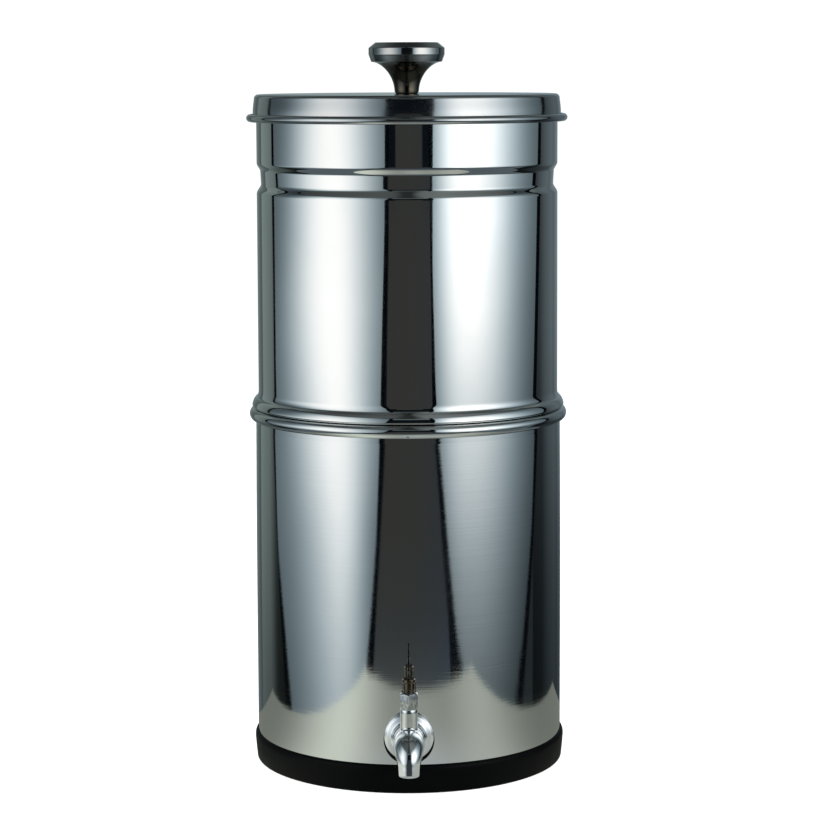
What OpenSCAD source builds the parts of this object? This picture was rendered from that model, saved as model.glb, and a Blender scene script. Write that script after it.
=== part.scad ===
// Gravity water filter: an upper chamber with two candle filters drips into
// a lower chamber that has a quarter-turn tap near its foot.
// Millimetres. Origin at the centre of the base ring's underside, +Z up,
// tap on the -Y side.

/* [Chambers] */
// Outside diameter of the lower chamber near its foot
lower_d = 216.3; // [215.5:0.1:216.6]
// Outside diameter of the upper chamber under its top rim
upper_d = 210.2; // [209.8:0.1:210.6]
// Thickness of the stainless sheet
sheet_t = 0.8; // [0.6:0.1:0.8]
// Height of the centre of the lower chamber's rolled rim
rim_z = 248.2; // [246:0.2:250]
// Height of the upper chamber's top rim
mouth_z = 470.2; // [469:0.1:470.3]
// Height of the middle of the groove pressed in the upper chamber
groove_z = 413.4; // [405:0.2:420]

/* [Base ring] */
// Outside diameter of the rubber base ring
ring_d = 220.8; // [219.5:0.1:223]
// Height of the rubber base ring's lip
ring_h = 20.2; // [18:0.1:22]

/* [Lid] */
// Height of the lid's flat top above the table
lid_top_z = 471.3; // [471.3:0.1:474]
// Outside diameter of the lid's skirt
lid_d = 214.8; // [214.4:0.1:215.2]
// Diameter of the lid's knob
knob_d = 53; // [46:0.5:58]
// Height of the knob above the lid
knob_h = 35.5; // [33:0.5:38]

/* [Tap] */
// Height of the tap's horizontal axis above the table
tap_z = 40.6; // [40:0.2:60]
// Diameter of the tap's flange
flange_d = 33.4; // [30:0.1:36]
// Diameter of the valve body
valve_d = 20.7; // [20:0.1:22]
// Outside diameter of the spout's outlet
outlet_d = 14.4; // [13:0.1:16]
// Diameter of the hole through the spout
waterway_d = 9; // [8:0.1:9.4]
// Height of the lever blade
blade_h = 15; // [12:0.5:18]
// Length of the lever blade
blade_l = 27; // [20:1:30]

/* [Filters] */
// Outside diameter of a ceramic candle
candle_d = 56; // [48:1:60]
// Height of a ceramic candle above its plastic base
candle_h = 150; // [120:5:165]
// Distance between the two candles' axes
candle_gap = 96; // [80:1:110]

/* [Hidden] */
$fn = 96;

steel = "#bcc3c4";
dark_steel = "#4b4a47";
rubber_c = "#141516";
ceramic_c = "#efece4";
plastic_c = "#e9eaea";

R_low = lower_d / 2;          // lower chamber, outside
R_up = upper_d / 2;           // upper chamber, outside
t = sheet_t;
h2 = t / 2;
floor_low = 4.4;              // underside of the lower chamber's foot
corner_low = 8;               // corner radius of the lower chamber, at mid sheet
nest_r = 103.6;               // nested foot of the upper chamber, at mid sheet
floor_up = 232;               // underside of the upper chamber's floor
bead_r = 4.6;                 // rolled rim of the lower chamber
wall_y = -R_low;              // outer wall at the tap
stack_z = rim_z + bead_r;     // top of the lower chamber's rim
tap_y = wall_y - 18.85;       // the tap's vertical axis
collar_y0 = wall_y - 6.45;    // back of the shank's collar
body_y0 = wall_y - 9.95;      // back of the valve body
bend_y = tap_y - 10.4;          // where the spout starts to bend
bend_r = 12.6;                // radius of the spout's bend
spout_z = 24.2;               // lowest point of the spout
ball_r = 7.5;
stem_top = tap_z + 41.3;      // underside of the stem cap

// ---- helpers -------------------------------------------------------------

// points of an arc, angles in degrees
function arc(cx, cy, r, a0, a1, n) =
    [for (i = [0:n]) let (a = a0 + (a1 - a0) * i / n) [cx + r * cos(a), cy + r * sin(a)]];

// points of an elliptical arc
function earc(cx, cy, a, b, a0, a1, n) =
    [for (i = [0:n]) let (q = a0 + (a1 - a0) * i / n) [cx + a * cos(q), cy + b * sin(q)]];

// a soft step from one point to another, level in z at neither end
function soft(p, q, n) =
    [for (i = [0:n]) let (u = i / n, s = (1 - cos(180 * u)) / 2) [p[0] + (q[0] - p[0]) * s, p[1] + (q[1] - p[1]) * u]];

// cubic curve through four control points
function bez(a, b, c, d, n) =
    [for (i = [0:n]) let (u = i / n, v = 1 - u) v*v*v*a + 3*v*v*u*b + 3*v*u*u*c + u*u*u*d];

function rev(l) = [for (i = [len(l) - 1:-1:0]) l[i]];
function unit(v) = v / norm(v);
function seg_dir(p, i) = unit(p[i + 1] - p[i]);

// the line moved sideways by d, with true corners
function beside(p, d) =
    [for (i = [0:len(p) - 1])
        let (a = seg_dir(p, i == 0 ? 0 : i - 1),
             b = seg_dir(p, i == len(p) - 1 ? i - 1 : i),
             m = unit(a + b),
             k = d / max(0.4, m * a))
        p[i] + k * [-m[1], m[0]]];

// a turned sheet-metal shell from the line at the middle of its thickness
module spun(path, th) {
    rotate_extrude() polygon(concat(beside(path, th / 2), rev(beside(path, -th / 2))));
}

module turned(pts) { rotate_extrude() polygon(pts); }

// puts a piece drawn along +Z onto the tap's horizontal axis, +Z towards the front
module on_tap_axis(y) { translate([0, y, tap_z]) rotate([90, 0, 0]) children(); }

module ring(r_out, r_in, h) {
    difference() {
        cylinder(r = r_out, h = h);
        translate([0, 0, -1]) cylinder(r = r_in, h = h + 2);
    }
}

// ---- chamber profiles ----------------------------------------------------

// outside radius of the lower chamber: straight near the foot, drawn in a little at the rim
function low_r(z) = R_low - 0.7 * pow(max(0, min(1, (z - 80) / 161)), 2);

low_wall = [for (z = [24, 80, 104, 128, 152, 176, 200, 220, 240]) [low_r(z) - h2, z]];
low_rim = let (r = low_r(241) - h2) concat(
    arc(r + 1, stack_z - h2 - 1, 1, 180, 110, 4),
    arc(r + 0.25, rim_z, bead_r - h2, 79, -75, 16));
low_path = concat(
    [[0, 7.6 + h2 - 0.4], [84, 7.6 + h2 - 0.4]],
    soft([86, 7.6 + h2 - 0.4], [91, floor_low + h2], 5),
    arc(R_low - h2 - corner_low, floor_low + h2 + corner_low, corner_low, -90, 0, 9),
    low_wall, low_rim);

up_wall_low = R_up + 0.4 - h2;
groove_d = 2.95;
up_path = concat(
    [[0, floor_up + h2]],
    arc(nest_r - 7, floor_up + h2 + 7, 7, -90, 0, 8),
    arc(nest_r + 1.6, stack_z + 0.3 + h2 - 1.6, 1.6, 180, 90, 5),
    arc(109.6 - 1, stack_z + 0.3 + h2 + 1, 1, -90, 0, 5),
    earc(104.6, rim_z + 4.7, 5.1, 7.6, 15, 66, 9),
    [[105.85, rim_z + 12.5], [105.4, rim_z + 13.6], [105.15, rim_z + 15], [up_wall_low, rim_z + 17]],
    soft([R_up + 0.1 - h2, groove_z - 10.9], [R_up - groove_d - h2, groove_z - 4], 8),
    soft([R_up - groove_d + 0.45 - h2, groove_z + 4.6], [R_up - h2, groove_z + 10.6], 8),
    [[R_up - h2, mouth_z - 2.5]],
    arc(R_up - h2 - 2.1, mouth_z - 2.5, 2.1, 12, 250, 14));

lid_r = lid_d / 2;
lid_path = concat(
    [[0, lid_top_z - h2], [lid_r - 5, lid_top_z - h2]],
    arc(lid_r - 3.5 - h2, lid_top_z - h2 - 2.6, 2.6, 80, 5, 7),
    [[lid_r - 0.8 - h2, lid_top_z - 3.9], [lid_r - 0.25 - h2, lid_top_z - 7.5], [lid_r - h2, lid_top_z - 12.3]],
    arc(lid_r - h2 + 2.3, lid_top_z - 16.3, 2.3, 180, 465, 20));

// ---- lower body ----------------------------------------------------------

module lower_chamber() color(steel) difference() {
    spun(low_path, t, $fn = 144);
    translate([0, -R_low + 12, tap_z]) rotate([90, 0, 0]) cylinder(r = 8.3, h = 24);
}

// rubber ring: a foot under the chamber's edge and a lip up its wall
module base_ring() color(rubber_c) {
    rr = ring_d / 2;
    turned(concat(
        [[92, 0]],
        arc(rr - 1.25 - 2, 2, 2, -90, -4, 6),
        [[rr - 0.95, 4.5], [rr - 0.6, 8], [rr - 0.3, 11.5], [rr - 0.03, 15.2]],
        earc(R_low + 0.02, ring_h - 3.8, rr - R_low - 0.02, 3.8, 6, 84, 8),
        [[R_low, ring_h - 0.25]],
        rev([for (p = beside(low_path, -t / 2)) if (p[0] > 92 && p[1] < ring_h - 1) p]),
        [[92, floor_low]]), $fn = 144);
}

// ---- tap: fixed pieces ---------------------------------------------------

module tap_outer_washer() color(rubber_c) difference() {
    on_tap_axis(wall_y + 4) ring(15.6, 8.2, 6.05);
    cylinder(r = R_low, h = 90, $fn = 144);
}

module tap_flange() color(steel) on_tap_axis(wall_y - 2.05)
    turned(concat([[8.1, 0], [flange_d / 2, 0]],
        [[flange_d / 2, 2.6]], arc(flange_d / 2 - 1.8, 2.6, 1.8, 12, 90, 5),
        [[8.1, 4.4]]));

// hollow threaded shank with the collar that clamps the flange
module tap_shank() color(steel) difference() {
    on_tap_axis(wall_y + 22) turned([
        [0, 0], [7.3, 0], [8, 0.7], [8, 28.45], [12.1, 28.45], [12.3, 28.65],
        [12.3, 30.6], [11.2, 31.95], [7.6, 31.95], [7.6, 33.35], [0, 33.35]]);
    on_tap_axis(wall_y + 30) cylinder(r = waterway_d / 2, h = 60);
}

module tap_inner_washer() color(rubber_c) intersection() {
    on_tap_axis(wall_y + t + 4) ring(13, 8.1, 8);
    difference() {
        translate([0, 0, 10]) cylinder(r = R_low - t, h = 60, $fn = 144);
        translate([-20, wall_y + t + 3.2, 5]) cube([40, 60, 90]);
    }
}

module tap_back_nut() color(steel) difference() {
    on_tap_axis(wall_y + t + 11.2) intersection() {
        cylinder(d = 24 / cos(30), h = 8, $fn = 6);
        turned([[0, 0], [12.2, 0], [14.2, 1.2], [14.2, 6.8], [12.2, 8], [0, 8]]);
    }
    on_tap_axis(wall_y + 30) cylinder(r = 8.02, h = 40);
}

// rings of the tapered spout, swept round the bend and down
spout_steps = 9;
function spout_at(i) = i <= spout_steps
    ? let (a = 78 * i / spout_steps) [bend_y - bend_r * sin(a), tap_z - bend_r + bend_r * cos(a), a]
    : [bend_y - bend_r - 0.9, spout_z, 90];
function spout_rad(i) = let (u = i / (spout_steps + 1))
    valve_d / 2 - (valve_d - outlet_d) / 2 * pow(u, 1.35);
spout_n = 28;
spout_pts = [for (i = [0:spout_steps + 1], k = [0:spout_n - 1])
    let (c = spout_at(i), r = spout_rad(i), q = 360 * k / spout_n, a = c[2])
    [r * cos(q), c[0] - r * sin(q) * sin(a), c[1] + r * sin(q) * cos(a)]];
spout_faces = concat(
    [[for (k = [0:spout_n - 1]) k]],
    [for (i = [0:spout_steps], k = [0:spout_n - 1]) let (a = i * spout_n, b = a + spout_n, j = (k + 1) % spout_n)
        [a + k, b + k, b + j, a + j]],
    [[for (k = [spout_n - 1:-1:0]) (spout_steps + 1) * spout_n + k]]);

// valve body with the bonnet tower
module tap_body() color(steel) difference() {
    union() {
        on_tap_axis(body_y0) turned([
            [0, 0], [valve_d / 2 + 0.9, 0], [valve_d / 2 + 0.9, 1.2], [valve_d / 2, 2.4],
            [valve_d / 2, body_y0 - bend_y], [0, body_y0 - bend_y]]);
        translate([0, tap_y, tap_z]) cylinder(r = 5.97, h = 23.4);
    }
    // ball chamber, open at the back
    on_tap_axis(body_y0 + 1) cylinder(r = 7.65, h = body_y0 + 1 - tap_y + 7.5);
    // stem bore and packing box
    translate([0, tap_y, tap_z]) cylinder(r = 3.05, h = 40);
    translate([0, tap_y, tap_z + 16]) cylinder(r = 5, h = 20);
    on_tap_axis(tap_y) cylinder(r = waterway_d / 2, h = 40);
}

// tapered spout, welded to the valve body
module tap_spout() color(steel) difference() {
    polyhedron(points = spout_pts, faces = spout_faces, convexity = 4);
    // waterway: round the bend and straight out of the outlet
    on_tap_axis(bend_y + 2) cylinder(r = waterway_d / 2, h = 2.02);
    translate([0, bend_y, tap_z - bend_r]) rotate([90, 0, -90])
        rotate_extrude(angle = 90) translate([bend_r, 0]) circle(r = waterway_d / 2);
    translate([0, bend_y - bend_r, spout_z - 1]) cylinder(r = waterway_d / 2, h = tap_z - bend_r - spout_z + 1.01);
}

module seat() difference() {
    ring(7.6, waterway_d / 2, 2.7);
    translate([0, 0, -4.75]) sphere(r = ball_r + 0.05);
}
module tap_seat_front() color("#f4f4f0") on_tap_axis(tap_y - 4.75) seat();
module tap_seat_rear() color("#f4f4f0") on_tap_axis(tap_y + 4.75) mirror([0, 0, 1]) seat();

module tap_packing() color("#f4f4f0") translate([0, tap_y, tap_z + 16]) ring(4.95, 3.02, 3.3);

module tap_gland_nut() color(steel) translate([0, tap_y, tap_z]) difference() {
    union() {
        translate([0, 0, 19.3]) cylinder(r = 4.95, h = 4.2);
        translate([0, 0, 23.4]) rotate([0, 0, 30]) intersection() {
            cylinder(d = 12 / cos(30), h = 11.6, $fn = 6);
            turned([[0, 0], [6.4, 0], [7.2, 0.7], [7.2, 9.7], [5.2, 11.6], [0, 11.6]]);
        }
    }
    cylinder(r = 3.05, h = 60);
}

// ---- tap: pieces that turn with the lever --------------------------------

module tap_ball() color("#d9dcdc") translate([0, tap_y, tap_z]) difference() {
    sphere(r = ball_r);
    rotate([0, 90, 0]) cylinder(r = waterway_d / 2, h = 40, center = true);
    translate([-1.6, -4, 5.4]) cube([3.2, 8, 5]);
}

module tap_stem() color("#d9dcdc") translate([0, tap_y, 0]) {
    difference() {
        translate([0, 0, tap_z + 5.6]) cylinder(r = 2.98, h = stem_top - tap_z - 5.6 + 2);
        for (s = [-1, 1]) translate([s * 3.5 - 2, -4, tap_z + 5]) cube([4, 8, 3]);
    }
}

module tap_stem_sleeve() color("#4a3b2a") translate([0, tap_y, tap_z + 35.1]) ring(3.95, 3, 6.2);

module tap_stem_cap() color(steel) translate([0, tap_y, stem_top]) difference() {
    turned([[0, 0], [4.15, 0], [4.55, 0.4], [4.55, 2.2], [3.8, 3], [0, 3]]);
    translate([0, 0, -1]) cylinder(r = 3, h = 3);
    translate([-0.95, -3, 2]) cube([1.9, 6, 3]);
}

// thin oval blade, edge-on to the front when the tap is shut
module tap_handle() color(steel) translate([0, tap_y, stem_top + 2]) rotate([90, 0, 90])
    translate([0, 0, -0.75]) linear_extrude(1.5) intersection() {
        translate([0, 1]) union() {
            translate([0, blade_h / 2 + 0.6]) scale([blade_l / blade_h, 1]) circle(d = blade_h - 1.2);
            translate([-3, -1]) square([6, 6]);
        }
        translate([-blade_l, 0]) square([2 * blade_l, blade_h + 2]);
    }

// ---- upper body ----------------------------------------------------------

module upper_chamber() color(steel) difference() {
    spun(up_path, t, $fn = 144);
    for (s = [-1, 1]) translate([s * candle_gap / 2, 0, floor_up - 5]) cylinder(r = 6.2, h = 12);
}

base_z = floor_up + t + 3;      // candle base stands on its washer
shell_z = base_z + 14;          // the ceramic stands in the base's cup

module candle(s) color(ceramic_c) translate([s * candle_gap / 2, 0, shell_z - 8]) {
    r = candle_d / 2; w = 7; H = candle_h + 8;
    turned(concat(
        [[r - w, 0], [r, 0]],
        arc(0, H - r, r, 0, 90, 14),
        rev(arc(0, H - r, r - w, 0, 90, 12))));
}
module candle_left() candle(-1);
module candle_right() candle(1);

module carbon_core(s) color("#26282a") translate([s * candle_gap / 2, 0, shell_z - 8])
    turned([[0, 0], [candle_d / 2 - 10, 0], [candle_d / 2 - 10, candle_h - 34],
            [candle_d / 2 - 13, candle_h - 31], [0, candle_h - 31]]);
module carbon_core_left() carbon_core(-1);
module carbon_core_right() carbon_core(1);

// plastic cup with its hollow stem through the floor
module candle_base(s) color(plastic_c) translate([s * candle_gap / 2, 0, 0]) difference() {
    translate([0, 0, base_z]) turned([
        [0, -29], [5.2, -29], [5.9, -28.3], [5.9, 0], [11, 0], [14, 1], [candle_d / 2 - 1, 3],
        [candle_d / 2 + 2.5, 5], [candle_d / 2 + 2.5, 14], [candle_d / 2 + 0.02, 14],
        [candle_d / 2 + 0.02, 6], [0, 6]]);
    translate([0, 0, base_z - 40]) cylinder(r = 2.6, h = 60);
}
module candle_base_left() candle_base(-1);
module candle_base_right() candle_base(1);

module candle_washer(s) color(rubber_c) translate([s * candle_gap / 2, 0, floor_up + t]) ring(11, 5.95, 3);
module candle_washer_left() candle_washer(-1);
module candle_washer_right() candle_washer(1);

module wing_nut(s) color(plastic_c) translate([s * candle_gap / 2, 0, floor_up - 10]) difference() {
    union() {
        turned([[0, 0], [8.2, 0], [8.6, 0.6], [9.5, 7.5], [12, 8], [12, 9.8], [0, 9.8]]);
        for (a = [0, 180]) rotate([0, 0, a]) translate([6.5, -1.6, -1]) rotate([90, 0, 0]) mirror([0, 0, 1])
            linear_extrude(3.2) polygon([[0, 2], [9, 0], [12, 0.4], [13, 3.4], [11, 7.6], [6, 9.6], [0, 9.6]]);
    }
    translate([0, 0, -5]) cylinder(r = 5.96, h = 20);
}
module wing_nut_left() wing_nut(-1);
module wing_nut_right() wing_nut(1);

// ---- lid -----------------------------------------------------------------

module lid() color(steel) difference() {
    spun(lid_path, t, $fn = 144);
    translate([0, 0, lid_top_z - 5]) cylinder(r = 2.7, h = 10);
}

module lid_knob() color(dark_steel) {
    k = knob_d / 2;
    difference() {
        translate([0, 0, lid_top_z]) turned(concat(
            [[0, 0], [7.2, 0]],
            arc(7.2, 1.1, 1.1, -70, 0, 4),
            bez([8.55, 2.4], [9.2, 13.2], [17.4, 21.7], [k - 1.8, 22.15], 16),
            [[k - 0.3, knob_h - 8.9], [k, knob_h - 8.5], [k, knob_h - 3.9], [k - 0.3, knob_h - 3.5],
             [k - 4.4, knob_h - 0.2], [k - 4.9, knob_h], [0, knob_h]]));
        translate([0, 0, lid_top_z - 1]) cylinder(r = 2.5, h = 15);
    }
}

module knob_gasket() color("#d8d8d4") translate([0, 0, lid_top_z - t - 1]) ring(7, 2.5, 1);
module knob_washer() color(steel) translate([0, 0, lid_top_z - t - 2]) ring(8, 2.5, 1);
module knob_screw() color(steel) translate([0, 0, lid_top_z - t - 2]) difference() {
    union() {
        turned([[0, -3], [3, -3], [4.4, -2.2], [4.8, -0.8], [4.8, 0], [0, 0]]);
        cylinder(r = 2.49, h = 14.5);
    }
    for (a = [0, 90]) rotate([0, 0, a]) translate([-2.4, -0.5, -4]) cube([4.8, 1, 2.4]);
}

lower_chamber();
base_ring();
tap_outer_washer();
tap_flange();
tap_shank();
tap_inner_washer();
tap_back_nut();
tap_body();
tap_spout();
tap_seat_front();
tap_seat_rear();
tap_packing();
tap_gland_nut();
tap_ball();
tap_stem();
tap_stem_sleeve();
tap_stem_cap();
tap_handle();
upper_chamber();
candle_left();
candle_right();
carbon_core_left();
carbon_core_right();
candle_base_left();
candle_base_right();
candle_washer_left();
candle_washer_right();
wing_nut_left();
wing_nut_right();
lid();
lid_knob();
knob_gasket();
knob_washer();
knob_screw();
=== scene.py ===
import math

import bmesh
import bpy
import numpy as np
from mathutils import Matrix, Vector


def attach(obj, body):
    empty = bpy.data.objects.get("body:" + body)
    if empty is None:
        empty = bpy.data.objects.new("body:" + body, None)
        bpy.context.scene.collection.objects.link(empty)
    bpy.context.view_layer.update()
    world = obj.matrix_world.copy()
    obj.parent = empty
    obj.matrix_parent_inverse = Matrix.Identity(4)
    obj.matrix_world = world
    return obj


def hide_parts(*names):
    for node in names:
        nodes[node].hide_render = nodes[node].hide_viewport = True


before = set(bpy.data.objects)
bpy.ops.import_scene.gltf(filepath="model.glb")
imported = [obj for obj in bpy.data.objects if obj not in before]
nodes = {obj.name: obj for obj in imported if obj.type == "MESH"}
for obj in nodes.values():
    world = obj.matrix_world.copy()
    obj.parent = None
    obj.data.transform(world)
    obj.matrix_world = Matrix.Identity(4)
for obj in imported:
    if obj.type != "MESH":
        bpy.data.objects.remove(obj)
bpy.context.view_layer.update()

scene = bpy.context.scene
MM = 0.001

# --------------------------------------------------------------------------
# Driving sizes, in millimetres, the same as the construction's
# --------------------------------------------------------------------------
R_LOW = 108.15        # lower chamber, outside
R_UP = 105.1          # upper chamber, outside
T = 0.8               # sheet
H2 = T / 2
RIM_Z = 248.2
BEAD_R = 4.6
STACK_Z = RIM_Z + BEAD_R
MOUTH_Z = 470.2
GROOVE_Z = 413.4
FLOOR_LOW = 4.4
FLOOR_UP = 232.0
NEST_R = 103.6
RING_R = 110.4
RING_H = 20.2
LID_R = 107.4
LID_TOP = 471.3
KNOB_R = 26.5
KNOB_H = 35.5
TAP_Z = 40.6
WALL_Y = -R_LOW
TAP_Y = WALL_Y - 18.85
BODY_Y0 = WALL_Y - 9.95
BEND_Y = TAP_Y - 10.4
BEND_R = 12.6
SPOUT_Z = 24.2
VALVE_R = 10.35
OUTLET_R = 7.2
STEM_TOP = TAP_Z + 41.3
CANDLE_X = 48.0


# --------------------------------------------------------------------------
# Profile helpers: lists of (R, z)
# --------------------------------------------------------------------------
def arc(cx, cy, r, a0, a1, n):
    return [(cx + r * math.cos(math.radians(a0 + (a1 - a0) * i / n)),
             cy + r * math.sin(math.radians(a0 + (a1 - a0) * i / n))) for i in range(n + 1)]


def earc(cx, cy, a, b, a0, a1, n):
    return [(cx + a * math.cos(math.radians(a0 + (a1 - a0) * i / n)),
             cy + b * math.sin(math.radians(a0 + (a1 - a0) * i / n))) for i in range(n + 1)]


def soft(p, q, n):
    out = []
    for i in range(n + 1):
        u = i / n
        s = (1 - math.cos(math.pi * u)) / 2
        out.append((p[0] + (q[0] - p[0]) * s, p[1] + (q[1] - p[1]) * u))
    return out


def bez(a, b, c, d, n):
    out = []
    for i in range(n + 1):
        u = i / n
        v = 1 - u
        out.append(tuple(v**3 * a[k] + 3 * v * v * u * b[k] + 3 * v * u * u * c[k] + u**3 * d[k] for k in (0, 1)))
    return out


def rounded(pts, closed=False):
    """Corners with a third number become arcs of about that radius."""
    out = []
    n = len(pts)
    for i, p in enumerate(pts):
        if len(p) < 3 or (not closed and i in (0, n - 1)):
            out.append((p[0], p[1]))
            continue
        a = Vector(pts[i - 1][:2])
        b = Vector(p[:2])
        c = Vector(pts[(i + 1) % n][:2])
        u, v = (a - b), (c - b)
        turn = math.pi - u.angle(v)
        reach = min(p[2] * math.tan(turn / 2), u.length * 0.48, v.length * 0.48)
        s, e = b + u.normalized() * reach, b + v.normalized() * reach
        steps = max(3, int(math.degrees(turn) / 12))
        for k in range(steps + 1):
            w = k / steps
            q = s * (1 - w) ** 2 + b * 2 * w * (1 - w) + e * w**2
            out.append((q.x, q.y))
    return out


def tidy(path, gap=0.012):
    out = [path[0]]
    for p in path[1:]:
        if math.hypot(p[0] - out[-1][0], p[1] - out[-1][1]) > gap:
            out.append(p)
    return out


def beside(path, d):
    """The line moved sideways by d, with true corners."""
    p = [Vector(q) for q in path]
    out = []
    for i in range(len(p)):
        a = (p[i] - p[i - 1]).normalized() if i else (p[1] - p[0]).normalized()
        b = (p[i + 1] - p[i]).normalized() if i < len(p) - 1 else a
        m = (a + b).normalized()
        k = d / max(0.4, m.dot(a))
        out.append((p[i].x - k * m.y, p[i].y + k * m.x))
    return out


def supported(path, longest=9.0, edge=0.35):
    """Adds rows so that smooth shading never bleeds along a long straight stretch."""
    out = [path[0]]
    for a, b in zip(path, path[1:]):
        length = math.hypot(b[0] - a[0], b[1] - a[1])
        at = []
        if length > 6 * edge:
            inner = length - 2 * edge
            n = max(1, math.ceil(inner / longest))
            at = [edge + inner * k / n for k in range(n + 1)]
        elif length > 3 * edge:
            at = [length / 2]
        out += [(a[0] + (b[0] - a[0]) * s / length, a[1] + (b[1] - a[1]) * s / length) for s in at]
        out.append(b)
    return out


def mesh_object(name, verts, faces, smooth_angle=32.0):
    me = bpy.data.meshes.new(name)
    me.from_pydata([tuple(v) for v in verts], [], faces)
    me.validate()
    me.update()
    ob = bpy.data.objects.new(name, me)
    scene.collection.objects.link(ob)
    me.shade_smooth()
    me.set_sharp_from_angle(angle=math.radians(smooth_angle))
    return ob


def lathe(name, loop, seg=256, place=None, smooth_angle=32.0, span=(0.004, 0.996, 0.004, 0.965)):
    """A closed turned solid. loop runs once round the section, (R, h) in mm. Where it touches the axis the
    ends close on a single point; otherwise the loop closes on itself. place maps (x, y, h) in mm to the frame."""
    pts = tidy(loop)
    if math.hypot(pts[0][0] - pts[-1][0], pts[0][1] - pts[-1][1]) < 0.012:
        pts.pop()
    open_ends = pts[0][0] < 1e-6 and pts[-1][0] < 1e-6
    place = place or (lambda x, y, h: (x * MM, y * MM, h * MM))
    verts, rings = [], []
    for r, h in pts:
        if r < 1e-6:
            rings.append([len(verts)])
            verts.append(place(0, 0, h))
        else:
            rings.append(list(range(len(verts), len(verts) + seg)))
            for k in range(seg):
                a = 2 * math.pi * k / seg
                verts.append(place(r * math.sin(a), r * math.cos(a), h))
    lengths = [0.0]
    for a, b in zip(pts, pts[1:] + pts[:1]):
        lengths.append(lengths[-1] + math.hypot(b[0] - a[0], b[1] - a[1]))
    total = lengths[-1] if not open_ends else lengths[-2]
    u0, u1, v0, v1 = span
    faces, uvs = [], []
    pairs = list(zip(range(len(pts)), list(range(1, len(pts))) + [0]))
    if open_ends:
        pairs.pop()
    for i, j in pairs:
        A, B = rings[i], rings[j]
        va = v0 + (v1 - v0) * lengths[i] / total
        vb = v0 + (v1 - v0) * lengths[i + 1] / total
        for k in range(seg):
            k1 = (k + 1) % seg
            ua, ub = u0 + (u1 - u0) * k / seg, u0 + (u1 - u0) * (k + 1) / seg
            if len(A) == 1 and len(B) == 1:
                continue
            if len(A) == 1:
                faces.append((A[0], B[k], B[k1]))
                uvs += [((ua + ub) / 2, va), (ua, vb), (ub, vb)]
            elif len(B) == 1:
                faces.append((A[k], B[0], A[k1]))
                uvs += [(ua, va), ((ua + ub) / 2, vb), (ub, va)]
            else:
                faces.append((A[k], B[k], B[k1], A[k1]))
                uvs += [(ua, va), (ua, vb), (ub, vb), (ub, va)]
    ob = mesh_object(name, verts, faces, smooth_angle)
    layer = ob.data.uv_layers.new(name="OFBake")
    layer.data.foreach_set("uv", np.array(uvs, np.float32).ravel())
    orient(ob)
    return ob


def orient(ob):
    """Faces look outwards."""
    bm = bmesh.new()
    bm.from_mesh(ob.data)
    bmesh.ops.recalc_face_normals(bm, faces=bm.faces)
    if bm.calc_volume(signed=True) < 0:
        bmesh.ops.reverse_faces(bm, faces=bm.faces)
    bm.to_mesh(ob.data)
    bm.free()
    ob.data.update()


def applied(ob):
    """Modifiers turned into the mesh."""
    dg = bpy.context.evaluated_depsgraph_get()
    me = bpy.data.meshes.new_from_object(ob.evaluated_get(dg))
    old = ob.data
    ob.modifiers.clear()
    ob.data = me
    bpy.data.meshes.remove(old)
    return ob


def cut(ob, cutter, operation="DIFFERENCE"):
    m = ob.modifiers.new("cut", "BOOLEAN")
    m.operation = operation
    m.solver = "EXACT"
    m.object = cutter
    bpy.context.view_layer.update()
    applied(ob)
    bpy.data.objects.remove(cutter)
    return ob


def bevelled(ob, width, segments=3, angle=30.0):
    m = ob.modifiers.new("bevel", "BEVEL")
    m.width = width * MM
    m.segments = segments
    m.limit_method = "ANGLE"
    m.angle_limit = math.radians(angle)
    m.harden_normals = False
    bpy.context.view_layer.update()
    applied(ob)
    ob.data.shade_smooth()
    ob.data.set_sharp_from_angle(angle=math.radians(40))
    return ob


def joined(first, *others):
    """Several closed shells as one piece."""
    bm = bmesh.new()
    for ob in (first, *others):
        bm.from_mesh(ob.data)
    bm.to_mesh(first.data)
    bm.free()
    for ob in others:
        bpy.data.objects.remove(ob)
    first.data.shade_smooth()
    first.data.set_sharp_from_angle(angle=math.radians(35))
    return first


def on_tap_axis(y0):
    """Places a section turned about the tap's horizontal axis: h grows towards the front from y0."""
    return lambda x, y, h: (x * MM, (y0 - h) * MM, (TAP_Z + y) * MM)


def on_stem(z0):
    return lambda x, y, h: (x * MM, (TAP_Y + y) * MM, (z0 + h) * MM)


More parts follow.
